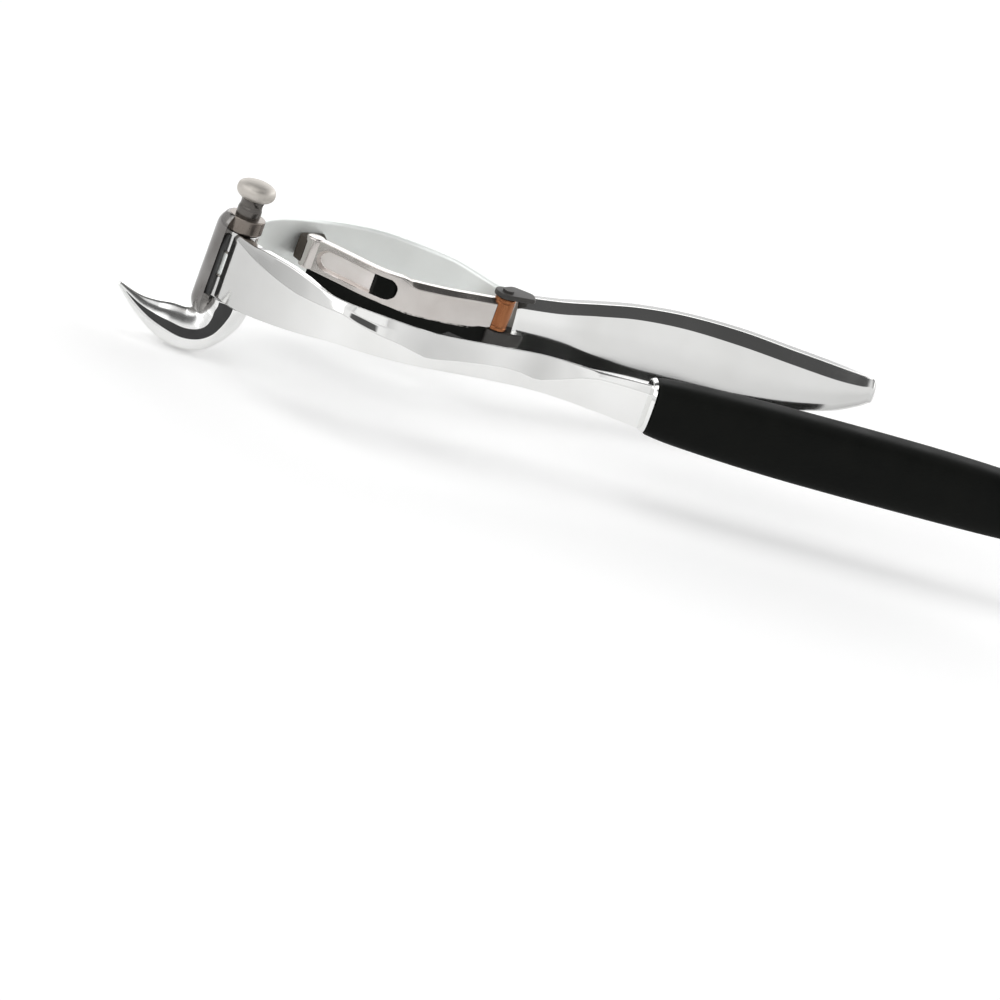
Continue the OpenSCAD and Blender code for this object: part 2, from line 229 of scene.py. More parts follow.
def speckle(tree, scale, detail, stretch=EVEN):
    """Noise on the piece's own coordinates, in cycles to a metre, stretched along its axes."""
    place = tree.nodes.new("ShaderNodeTexCoord")
    spread = tree.nodes.new("ShaderNodeMapping")
    spread.inputs["Scale"].default_value = stretch
    noise = tree.nodes.new("ShaderNodeTexNoise")
    noise.inputs["Scale"].default_value = scale
    noise.inputs["Detail"].default_value = detail
    noise.inputs["Roughness"].default_value = 0.5
    link(tree, place.outputs["Object"], spread.inputs["Vector"])
    link(tree, spread.outputs[0], noise.inputs["Vector"])
    return noise.outputs["Fac"]


def spread_between(tree, source, low, high, start=NOISE_LOW, end=NOISE_HIGH):
    """The source between start and end, turned into a value from low to high."""
    node = tree.nodes.new("ShaderNodeMapRange")
    for name, value in (("From Min", start), ("From Max", end), ("To Min", low), ("To Max", high)):
        node.inputs[name].default_value = value
    link(tree, source, node.inputs["Value"])
    return node.outputs["Result"]


def tint_between(tree, source, low, high):
    """The noise turned into a colour between low and high."""
    ramp = tree.nodes.new("ShaderNodeValToRGB")
    a, b = ramp.color_ramp.elements
    a.position, a.color = NOISE_LOW, (*low, 1)
    b.position, b.color = NOISE_HIGH, (*high, 1)
    link(tree, source, ramp.inputs[0])
    return ramp.outputs[0]


def relief(tree, shader, source, depth, strength, under):
    """Bumps of the given depth in metres on the shader's surface, on top of the ones under it, if any."""
    bump = tree.nodes.new("ShaderNodeBump")
    bump.inputs["Strength"].default_value = strength
    bump.inputs["Distance"].default_value = depth
    link(tree, source, bump.inputs["Height"])
    if under is not None:
        link(tree, under.outputs[0], bump.inputs["Normal"])
    link(tree, bump.outputs[0], shader.inputs["Normal"])
    return bump


def worn(name, metal, cloud, tints, roughness, grains):
    """A material whose tint and roughness follow one cloud of noise, each between its two values. cloud
    holds speckle's values. Each grain is a layer of bumps: the speckle's scale, detail and stretch, and
    the bumps' depth and strength."""
    material, tree, shader = paint(name)
    shader.inputs["Metallic"].default_value = metal
    noise = speckle(tree, *cloud)
    link(tree, tint_between(tree, noise, *tints), shader.inputs["Base Color"])
    link(tree, spread_between(tree, noise, *roughness), shader.inputs["Roughness"])
    under = None
    for scale, detail, stretch, depth, strength in grains:
        under = relief(tree, shader, speckle(tree, scale, detail, stretch), depth, strength, under)
    return material


def shaded_along(material, tone, shade_end, unshaded_end):
    """The material with painted shade: its tint scaled by tone at one place along the tool and unchanged
    at the other, both in metres, with an even change between them."""
    tree = material.node_tree
    base = tree.nodes["Principled BSDF"].inputs["Base Color"]
    share = spread_between(tree, coordinate(tree, "Object", "X"), tone, 1, shade_end, unshaded_end)
    fade = tree.nodes.new("ShaderNodeVectorMath")
    fade.operation = "SCALE"
    link(tree, base.links[0].from_socket, fade.inputs[0])
    link(tree, share, fade.inputs["Scale"])
    link(tree, fade.outputs[0], base)
    return material


def polished_chrome(name):
    """Bright plating: faint smears of grease, a slow waviness from polishing and fine hairline scratches."""
    return worn(name, metal=1, cloud=(55, 4), tints=((0.80, 0.80, 0.785), (0.88, 0.88, 0.87)),
                roughness=(0.05, 0.13),
                grains=[(90, 1, EVEN, 0.00012, 0.35), (900, 2, (0.06, 1, 1), 0.000006, 0.3)])


def brushed_chrome(name, low, high, smooth, rough, metal=1.0):
    """Plating that was only brushed: soft reflections between two tints, and fine marks along the tool."""
    return worn(name, metal, cloud=(160, 3), tints=(low, high), roughness=(smooth, rough),
                grains=[(1600, 2, (0.08, 0.6, 1), 0.00001, 0.35)])


def satin_nickel():
    """Duller plating of the knob's head and the washers: warm grey, brushed round and a little worn."""
    return worn("satin_nickel", metal=1, cloud=(260, 4), tints=((0.50, 0.47, 0.43), (0.62, 0.59, 0.55)),
                roughness=(0.44, 0.56), grains=[(2600, 2, (1, 1, 0.15), 0.000012, 0.4)])


def plain_steel():
    """Turned steel of the pins and springs: fine rings and slightly uneven gloss."""
    return worn("turned_steel", metal=1, cloud=(420, 3), tints=((0.55, 0.55, 0.56), (0.70, 0.70, 0.70)),
                roughness=(0.18, 0.34), grains=[(3000, 1, (0.1, 0.1, 1), 0.00001, 0.35)])


def copper_bush():
    """Copper-brown bush: upright polishing marks, darker where it is tarnished."""
    return worn("copper_bush", metal=1, cloud=(500, 4, (1, 1, 0.25)),
                tints=((0.225, 0.08, 0.033), (0.39, 0.165, 0.074)), roughness=(0.20, 0.34),
                grains=[(2400, 2, (1, 1, 0.05), 0.00002, 0.4)])


def soft_rubber(name, low, high):
    """Matte rubber between two tones: faint dust, fine grain and hardly any gloss."""
    material = worn(name, metal=0, cloud=(140, 5), tints=(low, high), roughness=(0.50, 0.64),
                    grains=[(5200, 2, EVEN, 0.00003, 0.5), (800, 2, EVEN, 0.00003, 0.25)])
    material.node_tree.nodes["Principled BSDF"].inputs["Specular IOR Level"].default_value = 0.09
    return material


def moulded_plastic():
    """Hard black plastic: an even fine texture and a low gloss."""
    return worn("moulded_plastic", metal=0, cloud=(200, 3),
                tints=((0.012, 0.012, 0.012), (0.022, 0.022, 0.022)), roughness=(0.34, 0.46),
                grains=[(4200, 2, EVEN, 0.00002, 0.4)])


# Curves and sections

CURVE_STEPS = 12
TURN_STEPS = 96
GRIP_SIDES = 80


def through(points, steps):
    """A smooth curve through the points, with steps places from each point to the next: the Catmull-Rom
    cubic of the two points and their neighbours, with the end points counted twice."""
    p = np.asarray(points, float)
    n = len(p)
    i = np.arange(n - 1)
    a, b, c, d = p[np.maximum(i - 1, 0)], p[i], p[i + 1], p[np.minimum(i + 2, n - 1)]
    t = (np.arange(steps) / steps)[None, :, None]
    a, b, c, d = (q[:, None, :] for q in (a, b, c, d))
    square, cube = 2 * a - 5 * b + 4 * c - d, 3 * b - a - 3 * c + d
    curve = 0.5 * (2 * b + (c - a) * t + square * t ** 2 + cube * t ** 3)
    return np.vstack([curve.reshape(-1, p.shape[1]), p[-1:]])


def read_off(table, x, smooth=True):
    """The values of a table of (x, value, value...) rows at each x, along a smooth curve or along
    straight lines."""
    t = through(table, CURVE_STEPS) if smooth else np.asarray(table, float)
    return np.stack([np.interp(x, t[:, 0], t[:, k]) for k in range(1, t.shape[1])], -1)


def value_at(table, x, smooth=True):
    """The only value of a table of (x, value) rows at each x."""
    return read_off(table, x, smooth)[:, 0]


def ease(t):
    """The smooth step 3t^2 - 2t^3, with t held between 0 and 1."""
    t = np.clip(t, 0, 1)
    return t * t * (3 - 2 * t)


def quarter(count):
    """Angles from nothing to a quarter turn."""
    return np.linspace(0, math.pi / 2, count)


def directions(line):
    """Unit vectors along a plane line at each of its points."""
    d = np.gradient(line, axis=0)
    return d / np.linalg.norm(d, axis=1)[:, None]


def left_of(line):
    """Unit vectors to the left of a plane line at each of its points."""
    d = directions(line)
    return np.stack([-d[:, 1], d[:, 0]], 1)


def resample(line, step):
    """The line's points moved to equal distances of about step along it."""
    run = np.concatenate([[0], np.cumsum(np.linalg.norm(np.diff(line, axis=0), axis=1))])
    at = np.linspace(0, run[-1], int(run[-1] / step) + 2)
    return np.stack([np.interp(at, run, line[:, k]) for k in range(line.shape[1])], 1)


def arc(centre, radius, start, end, count):
    """Points on a circle between two angles in degrees."""
    angle = np.radians(np.linspace(start, end, count))
    return np.stack([centre[0] + radius * np.cos(angle), centre[1] + radius * np.sin(angle)], 1)


def sections(*corners):
    """Sections out of one (beside, up) pair for each corner. A plain number is the same in every section."""
    return np.stack([np.stack(np.broadcast_arrays(*pair), -1) for pair in corners], 1)


def soft_corners(corners, reach, turns=4):
    """Closed sections with rounded corners: each corner becomes the quadratic curve that starts at its
    reach before the corner and ends as far behind it, bent towards it. corners has the shape (sections,
    corners, 2)."""
    before, after = np.roll(corners, 1, 1) - corners, np.roll(corners, -1, 1) - corners
    lb, la = np.linalg.norm(before, axis=-1), np.linalg.norm(after, axis=-1)
    reach = np.broadcast_to(np.asarray(reach, float), lb.shape)
    r = np.minimum(reach, 0.48 * np.minimum(lb, la))[..., None]
    start = (corners + before / np.maximum(lb, 1e-9)[..., None] * r)[:, :, None]
    end = (corners + after / np.maximum(la, 1e-9)[..., None] * r)[:, :, None]
    t = np.linspace(0, 1, turns + 1)[None, None, :, None]
    bend = start * (1 - t) ** 2 + 2 * corners[:, :, None] * t * (1 - t) + end * t ** 2
    return bend.reshape(len(corners), -1, 2)


def shrunk(ring, scale):
    """Rings scaled about their own middles."""
    middle = ring.mean(1, keepdims=True)
    return middle + (ring - middle) * scale


def rounded_box(width, height, power):
    """A closed superellipse: |2y/width|^power + |2z/height|^power = 1, one row for each width."""
    t = np.linspace(0, 2 * math.pi, GRIP_SIDES, endpoint=False)
    c, s = np.cos(t), np.sin(t)
    y = np.sign(c) * np.abs(c) ** (2 / power) / 2
    z = np.sign(s) * np.abs(s) ** (2 / power) / 2
    return np.stack([width[:, None] * y, height[:, None] * z], -1)


def along(line, section):
    """A ring at each point of a plane line: section holds (distance to the right of the line, height)."""
    side = -left_of(line)
    x = line[:, None, 0] + side[:, None, 0] * section[..., 0]
    y = line[:, None, 1] + side[:, None, 1] * section[..., 0]
    return np.stack([x, y, section[..., 1]], -1)


def across(x, section):
    """A ring at each x: section holds (beside, up)."""
    return np.stack([np.broadcast_to(x[:, None], section.shape[:2]), section[..., 0], section[..., 1]], -1)


def swept(section, angle, centre=(0, 0)):
    """A ring at each angle round an upright axis: section holds (radius, height)."""
    radius, height = section[..., 0], section[..., 1]
    x = centre[0] + radius * np.cos(angle)[:, None]
    y = centre[1] + radius * np.sin(angle)[:, None]
    return np.stack([x, y, np.broadcast_to(height, x.shape)], -1)


def turned(profile, centre=(0, 0)):
    """A profile of (radius, height) points carried round an upright axis: a ring at each profile point."""
    p = np.asarray(profile, float)
    angle = np.radians(360.0 * np.arange(TURN_STEPS) / TURN_STEPS)
    x = centre[0] + p[:, None, 0] * np.cos(angle)
    y = centre[1] + p[:, None, 0] * np.sin(angle)
    return np.stack([x, y, np.broadcast_to(p[:, None, 1], x.shape)], -1)


def rounded_profile(points, reach, turns=4):
    """An open profile whose inner corners are rounded by the same quadratic curve as a section's corners."""
    p = np.asarray(points, float)
    ring = soft_corners(p[None], reach, turns)[0].reshape(len(p), turns + 1, 2)
    return np.vstack([p[:1], ring[1:-1].reshape(-1, 2), p[-1:]])


def barrel(inner, outer, low, high, edge, turns=4, centre=(0, 0)):
    """An upright cylinder between two radii and two heights, with its outer edges rounded."""
    profile = [[inner, low], [outer, low], [outer, high], [inner, high]]
    return turned(rounded_profile(profile, edge, turns), centre)


def upright(outline, low, high, edge):
    """A plate standing between two heights over a plane outline: its outline is drawn in a little at both
    ends, along a quarter circle, so that the edges are round."""
    middle = outline.mean(0)
    angle = quarter(5)
    inset = np.concatenate([edge * (1 - np.sin(angle)), edge * (1 - np.sin(angle[::-1]))])
    z = np.concatenate([low + edge * (1 - np.cos(angle)), high - edge * (1 - np.cos(angle[::-1]))])
    out = outline - middle
    size = np.linalg.norm(out, axis=1).mean()
    ring = middle + out[None] * (1 - inset / size)[:, None, None]
    return np.concatenate([ring, np.broadcast_to(z[:, None, None], ring.shape[:2] + (1,))], -1)


# Meshes

def tube(rings):
    """Points and faces of a closed form: each ring is joined to the next, and a point in the middle of the
    first and of the last ring closes the ends. Faces are turned outwards by the sign of the enclosed
    volume."""
    rows, cols = rings.shape[:2]
    points = np.vstack([rings.reshape(-1, 3), rings[0].mean(0), rings[-1].mean(0)])
    i, j = np.arange(rows - 1)[:, None] * cols, np.arange(cols)[None]
    k = (j + 1) % cols
    sides = np.stack([i + j, i + k, i + cols + k, i + cols + j], -1).reshape(-1, 4)
    top = (rows - 1) * cols
    ends = np.vstack([np.stack([np.full(cols, rows * cols), k[0], j[0]], 1),
                      np.stack([np.full(cols, rows * cols + 1), top + j[0], top + k[0]], 1)])
    a, b, c, d = (points[sides[:, n]] for n in range(4))
    volume = np.einsum("ij,ij->", a, np.cross(b, c)) + np.einsum("ij,ij->", a, np.cross(c, d))
    a, b, c = (points[ends[:, n]] for n in range(3))
    volume += np.einsum("ij,ij->", a, np.cross(b, c))
    if volume < 0:
        sides, ends = sides[:, ::-1], ends[:, ::-1]
    return points, sides.tolist() + ends.tolist()


def piece(name, forms, finish, body, nodes=(), sharp=32, even=True):
    """One object out of closed forms in millimetres from the pin: it rides on a body and stands for CAD
    nodes. Edges above sharp degrees stay sharp, and even evens the shading out over the large faces."""
    points, faces, count = [], [], 0
    for form in forms:
        p, f = tube(form)
        points.append(p)
        faces += [[v + count for v in face] for face in f]
        count += len(p)
    mesh = bpy.data.meshes.new(name)
    mesh.from_pydata(((np.vstack(points) + PIN) * MM).tolist(), [], faces)
    mesh.polygons.foreach_set("use_smooth", np.ones(len(faces), bool))
    mesh.set_sharp_from_angle(angle=math.radians(sharp))
    mesh.materials.append(finish)
    obj = add(name, mesh)
    if even:
        weights = obj.modifiers.new("even_shading", "WEIGHTED_NORMAL")
        weights.keep_sharp = True
        weights.weight = 80
    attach(obj, body)
    if nodes:
        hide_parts(*nodes)
    return obj


# The tool's own sizes and lines, as in the part's source

BAND_T = 2.8
JAW_T = 2.6
GRIP_START = 89.0
TANG_SIDE = -16.2
KNUCKLE_R = 3.7
KNUCKLE_TOP = 7.2
NEAR_KNUCKLE_LOW = 2.7
FAR_KNUCKLE_TOP = 2.4
CORK = np.array([31.0, -7.0])
CORK_R = 15.0
CORK_PAD_HALF = 2.8
PIVOT = (60.6, 14.8)
JAW_UP = 0.9

grip_line = resample(through([[-1.2, -1.5], [3.2, -9.5], [9, -17.2], [17, -22.6], [28, -25.1],
                              [40, -23.6], [55, -18.6], [68, -15.4], [80, -15.4], [91, -16.2]],
                             CURVE_STEPS), 0.35)
lever_line = resample(through([[-1.2, 1.5], [3.2, 9], [9, 17.2], [17, 24.3], [27.5, 29.8], [39, 31.8],
                               [50, 28.8], [58, 22.4], [66, 19.6], [76, 21.6]], CURVE_STEPS), 0.45)
jaw_line = resample(through([[19.8, 19.2], [26.2, 14.9], [31.5, 11.2], [35.5, 9.7], [41, 9.7], [48, 11],
                             [54.5, 13.1], [58.6, 14.4]], CURVE_STEPS), 0.12)

# Place along the tool, top edge and lower edge of each band. They differ a little from the part's source.
grip_edges = [[-6, 7.15, -7.15], [1.5, 7.15, -6.95], [4, 7.6, -6.4], [8, 7.9, -5.25], [11.5, 7.4, -4.5],
              [14.5, 6.75, -3.9], [18, 6.2, -3.3], [22, 6.0, -3], [28, 5.8, -2.9], [33, 5.4, -2.9],
              [40, 4.75, -2.95], [54, 4.4, -3.3], [64, 4.4, -3.5], [76, 4.1, -4.3], [88.95, 4.6, -5.4]]
lever_edges = [[-6, 6.8, -6.8], [8, 6.8, -6.8], [14, 6.4, -6.6], [22, 5.9, -6.25], [34, 5.8, -6],
               [44, 5.4, -5.8], [54, 5.2, -5], [60, 4.5, -3.8], [65, 3.5, -3], [76, 3.2, -2.9]]


# The two arms

# The lugs' radius, and their lower and upper faces from the middle of the jaw.
LUG_R = 2.7
LUG_HEIGHTS = ((3.65, 4.7), (-7.3, -3.65))


def knuckle(low, high):
    """A hinge knuckle between two heights. Its end faces run in to the core's radius, where tube closes
    them."""
    core, edge = 0.2, 0.3
    return barrel(core, KNUCKLE_R, low, high, edge)


def make_near_band(chrome):
    """The near arm: its outer face has two long facets that meet in a crease. The crease starts near the
    top edge at the hinge, runs down to the lower edge behind the cork and climbs again to the black grip.
    The upper facet leans back, and a short steep ledge breaks it where it changes from the wide to the
    narrow part."""
    line = grip_line[grip_line[:, 0] < GRIP_START - 0.05]
    x = line[:, 0]
    half = BAND_T / 2
    top, low = read_off(grip_edges, x).T
    crease = value_at([[-6, 7.0], [-1.9, 6.9], [-0.4, 6.1], [3.5, 4.6], [7, 4.0], [11, 3.4], [17.6, 3.5],
                       [20.1, 3.5], [24.6, 2.6], [28.6, 1.7], [32.8, 0.9], [38.6, -0.7], [40.5, -0.7],
                       [45.6, -0.2], [51, 0.05], [56, 0.2], [60, -0.2], [63.4, -1.0], [65.2, -1.0],
                       [69.4, 0.2], [73.5, 1.7], [77.2, 2.6], [82, 2.7], [90, 2.6]], x, False)
    lean = value_at([[-6, 0.1], [-1, 0.25], [3.5, 0.6], [8, 0.8], [13, 0.8], [18, 0.85], [22, 0.95],
                     [28, 0.95], [45, 1.0], [60, 1.05], [76, 0.75], [90, 0.5]], x)
    tuck = value_at([[-6, 0.05], [10, 0.15], [30, 0.3], [38.6, 0.3], [42, 0.62], [52, 0.75], [60, 0.55],
                     [64.5, 0.25], [70, 0.3], [80, 0.5], [90, 0.5]], x, False)
    ledge_start, ledge_end, ledge_depth = 19.8, 32.0, 0.62
    ledge = ease(np.minimum((x - ledge_start) / 4.0, (ledge_end - x) / 7.5))
    share = 0.5 - 0.12 * ledge
    middle = half - lean * share - ledge_depth * ledge
    rise = np.maximum(top - crease, 0.3)
    away = 0.95 * np.clip((x - 12) / 8, 0, 1)
    corners = sections((-half, low), (-half, top - away), (half - lean, top),
                       (middle, crease + rise * share), (half, crease),
                       (half - tuck * 0.4, crease * 0.42 + low * 0.58), (half - tuck, low))
    band = along(line, soft_corners(corners, [0.35, 0.3, 0.3, 0.25, 0.28, 0.3, 0.35]))
    upper = knuckle(NEAR_KNUCKLE_LOW, KNUCKLE_TOP)
    lower = knuckle(-KNUCKLE_TOP, -NEAR_KNUCKLE_LOW)
    piece("near_band", [band, upper, lower], chrome, "grip_side", ["grip_arm"])


def make_far_band(plating, dark):
    """The wide arm: a band of even thickness with a rounded rim, its hinge knuckle, and two lugs for the
    jaw's pin. The lugs' near-black plating is painted shade."""
    half = BAND_T / 2
    top, low = read_off(lever_edges, lever_line[:, 0]).T
    corners = sections((half, low), (half, top), (-half, top), (-half, low))
    band = along(lever_line, soft_corners(corners, [0.5, 0.75, 0.75, 0.5], 5))
    middle = knuckle(-FAR_KNUCKLE_TOP, FAR_KNUCKLE_TOP)
    piece("far_band", [band, middle], plating, "lever_side", ["lever_arm"])
    lugs = [lug(JAW_UP + bottom, JAW_UP + top) for bottom, top in LUG_HEIGHTS]
    piece("jaw_lugs", lugs, dark, "lever_side")


def lug(low, high):
    """A lug of the lever arm: half a disc round the jaw's pin that widens towards the handle."""
    disc = arc(PIVOT, LUG_R, 100, 262, 22)
    root = [[66.8, 14.3], [66.8, 18.0], [62.4, 19.6]]
    outline = soft_corners(np.vstack([disc, root])[None], reach=0.9, turns=3)[0]
    return upright(outline, low, high, edge=0.25)


# The jaw and what it leans on

# The pocket's two ends along the jaw, half its height, its depth, the run of its sloping wall, and how far
# inside the slot its floor's lighter plating, a painted highlight, starts.
POCKET_START, POCKET_END = 21.4, 37
POCKET_HALF = 2.2
POCKET_DEPTH = 1.15
POCKET_WALL = 0.42
POCKET_FLOOR = 0.4

INSERT_START = 31.9
INSERT_R = 2.12
BEAD_R = 2.0
BEAD_PLAY = 0.08
BUSH_BORE_R, BUSH_R, BUSH_GROOVE_R = 1.25, 2.2, 2.08
BUSH_HALF = 3.53


def pocket_depth(x, z):
    """How far a point of the jaw's face is inside the pocket's slot: half its height less the distance to
    the middle line between the two round ends."""
    middle = np.clip(x, POCKET_START + POCKET_HALF, POCKET_END - POCKET_HALF)
    return POCKET_HALF - np.hypot(x - middle, z - JAW_UP)


def make_jaw(finish, sunk):
    """The jaw: a wall along its line whose face has a sunk pocket. The pocket's depth at a point grows
    smoothly with the point's distance inside a slot with round ends. The free end swells into a round
    bead. The pocket's floor takes a lighter plating than the face, as a painted highlight."""
    x = jaw_line[:, 0]
    half = JAW_T / 2
    top = value_at([[10, 4.3], [37.4, 4.3], [38.4, 4.15], [39.6, 3.9], [48, 3.85], [70, 3.75]], x, False)
    low = value_at([[10, -2.4], [34, -2.45], [40, -3.3], [54, -3.5], [56.2, -2.6], [70, -2.6]], x, False)
    # The bevel of the face's top edge: how far it reaches in, and how far down for each millimetre of that.
    bevel = 0.1 + 0.75 * ease((x - 36.8) / 4.5)
    fall = 1.45 - 0.25 * np.clip((x - 38) / 16, 0, 1)
    corners = sections((-half, low), (-half, top), (half - bevel, top), (half, top - fall * bevel),
                       (half, low))
    turns = 4
    ring = soft_corners(corners, [0.3, 0.45, 0.12, 0.12, 0.3], turns)
    # The face lies between the last two corners and gets many more points, for the pocket.
    face = 4 * (turns + 1)
    start, end = ring[:, face - 1:face], ring[:, face:face + 1]
    rise = np.linspace(0, 1, 60)[1:-1][None, :, None]
    ring = np.concatenate([ring[:, :face], start + (end - start) * rise, ring[:, face:]], 1)
    inside = pocket_depth(np.broadcast_to(x[:, None], ring.shape[:2]), ring[..., 1])
    sink = POCKET_DEPTH * np.clip(inside / POCKET_WALL, 0, 1) ** 0.7
    facing = ring[..., 0] > half - 0.02
    ring[..., 0] -= np.where(facing, sink, 0)
    wall = along(jaw_line, ring)
    bead = barrel(0, BEAD_R, low=-2.46, high=4.36, edge=0.55, turns=6, centre=jaw_line[0])
    jaw = piece("clamping_jaw", [wall, bead], finish, "jaw", ["clamp_jaw"], even=False)
    # The second finish is the pocket floor's lighter plating: a painted highlight.
    jaw.data.materials.append(sunk)
    highlighted_floor = (facing & (inside > POCKET_FLOOR))[:-1].ravel()
    index = np.zeros(len(jaw.data.polygons), np.int32)
    index[:len(highlighted_floor)] = highlighted_floor
    jaw.data.polygons.foreach_set("material_index", index)


def make_pocket_shade_insert(rubber):
    """The black insert in the pocket's inner end, as painted shade there: its height follows the slot's
    round end, and its face rises smoothly from the pocket's floor and falls again at the end."""
    line = jaw_line[(jaw_line[:, 0] > INSERT_START) & (jaw_line[:, 0] < POCKET_END - 0.05)]
    x = line[:, 0]
    past_round = np.maximum(x - (POCKET_END - POCKET_HALF), 0)
    reach = np.sqrt(np.maximum(INSERT_R ** 2 - past_round ** 2, 0.01))
    floor = 0.05
    at_start, at_middle, at_end = 0.1, 1.4, 0.25
    rise = (at_middle - at_start) * ease((x - INSERT_START) / 1.2)
    fall = (at_middle - at_end) * np.clip((x - 36.2) / 0.7, 0, 1) ** 2
    face = floor + at_start + rise - fall
    low, high = JAW_UP - reach, JAW_UP + reach
    corners = sections((floor, low), (face, low), (face, high), (floor, high))
    insert = along(line, soft_corners(corners, 0.5))
    piece("pocket_shade_insert", [insert], rubber, "jaw", ["jaw_pad"])


def make_shade_guard(rubber):
    """The black guard under the jaw's lower edge, as painted shade in the gap above the near band: as thick
    as the jaw, with its lower corners rounded.
    """
    line = jaw_line[(jaw_line[:, 0] > 20.3) & (jaw_line[:, 0] < 57.75)][::3]
    x = line[:, 0]
    half = JAW_T / 2
    low = value_at([[10, -6.6], [26, -6.3], [35, -5.5], [44, -5.6], [52, -6.2], [70, -6.3]], x)
    top = value_at([[10, -2.42], [36, -2.42], [46, -2.82], [54, -2.77], [56, -2.52], [70, -2.52]], x, False)
    corners = sections((-half, top), (half, top), (half, low), (-half, low))
    guard = along(line, soft_corners(corners, [0.1, 0.1, 0.9, 0.9]))
    piece("jaw_shade_guard", [guard], rubber, "jaw", ["jaw_guard"])


def make_bush(copper):
    """The copper bush: a barrel with rounded rims and a shallow groove near each end, round the jaw's
    pin."""
    radii = [BUSH_BORE_R, BUSH_R, BUSH_R, BUSH_GROOVE_R, BUSH_GROOVE_R, BUSH_R]
    in_from_end = np.array([0, 0, 0.7, 0.8, 0.95, 1.05])
    lower = np.stack([radii, JAW_UP - BUSH_HALF + in_from_end], 1)
    upper = np.stack([radii, JAW_UP + BUSH_HALF - in_from_end], 1)[::-1]
    profile = rounded_profile(np.vstack([lower, upper]), 0.25, 3)
    piece("copper_barrel", [turned(profile, PIVOT)], copper, "jaw", ["jaw_bush"])


def make_bumper(rubber):
    """The rubber block behind the jaw's bead: hollowed to the bead's radius on one side, following the
    band on the other, with soft edges."""
    start, end, half_height, clear = 16.7, 23.0, 2.5, 0.02
    outer = lever_line - left_of(lever_line) * (BAND_T / 2)
    cup = arc(jaw_line[0], BEAD_R + BEAD_PLAY, 205, 25, 24)
    back = outer[(outer[:, 0] > start) & (outer[:, 0] < end)] + np.array([clear, -clear])
    outline = np.vstack([[[16.6, 20.5]], cup, [[22.9, 21.4]], back[::-1][::3]])
    outline = soft_corners(outline[None], reach=0.5, turns=3)[0]
    block = upright(outline, JAW_UP - half_height, JAW_UP + half_height, edge=0.35)
    bumper = piece("bead_bumper", [block], rubber, "lever_side", ["jaw_bumper"])
    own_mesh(bumper)


def make_cork_pad(rubber):
    """The rubber seat: an arc round the cork whose back follows the near band. Shallow upright grooves run
    along its gripping face, as a cosine of the angle."""
    middle, half_angle = -90, 61.8
    back = grip_line + left_of(grip_line) * (BAND_T / 2)
    out = back - CORK
    turn = np.degrees(np.unwrap(np.arctan2(out[:, 1], out[:, 0])))
    turn = np.where(turn > 90, turn - 360, turn)
    order = np.argsort(turn)
    angle = np.linspace(middle - half_angle, middle + half_angle, 220)
    outer = np.interp(angle, turn[order], np.linalg.norm(out, axis=1)[order]) - 0.02
    groove_depth, grooves_per_turn = 0.14, 60
    wave = np.cos(np.radians(angle - middle) * grooves_per_turn)
    inner = CORK_R + groove_depth * (0.5 - 0.5 * wave)
    corners = sections((inner, -CORK_PAD_HALF), (outer, -CORK_PAD_HALF), (outer, CORK_PAD_HALF),
                       (inner, CORK_PAD_HALF))
    seat = swept(soft_corners(corners, 0.3, 3), np.radians(angle), CORK)
    piece("cork_seat", [seat], rubber, "grip_side", ["cork_pad"])


# The hook

HORN_R = 4.4
HORN_SIDES = 72
STRAP_HALF_ANGLE = 39.5


def horn_ring(path, d, r, turn, belly):
    """Points round the horn's line, whose direction is d: an egg of radius r whose widest place lies belly
    times r off the middle, outside the bend. turn goes round it, and 270 degrees is its near side."""
    rise = -np.cos(turn)
    tall = r * (rise * np.where(rise > 0, 1 + belly, 1 - belly) - belly)
    return np.stack([path[:, 0:1] + d[:, 1:2] * tall, r * np.sin(turn), path[:, 1:2] - d[:, 0:1] * tall], -1)


def make_horn(finish, plastic):
    """The horn: an egg-shaped section that turns down from the hinge and shrinks along a curved line, with
    a round tip. Its line holds (along, up, share of the full radius)."""
    path = through([[2.2, -7.42, 1.0], [2.3, -8.8, 1.02], [2.0, -10.4, 1.03], [1.1, -12.3, 1.03],
                    [-0.5, -14.2, 1.03], [-2.7, -15.55, 1.02], [-5.6, -16.0, 0.99], [-8.8, -15.5, 0.9],
                    [-12.4, -14.75, 0.65], [-16, -13.4, 0.38], [-20.3, -10.95, 0.12]], 14)
    d = directions(path[:, :2])
    steps = quarter(9)[1:]
    tip_length = 0.5
    along_x, up, share = path[-1]
    ends = np.stack([along_x + d[-1, 0] * tip_length * np.sin(steps),
                     up + d[-1, 1] * tip_length * np.sin(steps),
                     share * np.maximum(np.cos(steps), 0.02)], 1)
    path, d = np.vstack([path, ends]), np.vstack([d, np.repeat(d[-1:], len(ends), 0)])
    turn = np.radians(np.arange(HORN_SIDES) * 360 / HORN_SIDES)
    belly = 0.6 * np.clip((1.0 - path[:, 0:1]) / 3, 0, 1)
    horn = horn_ring(path, d, HORN_R * path[:, 2:3], turn, belly)
    piece("hook_horn", [horn], finish, "grip_side", ["wire_hook"])
    make_reflection_strips(path, d, belly, plastic)


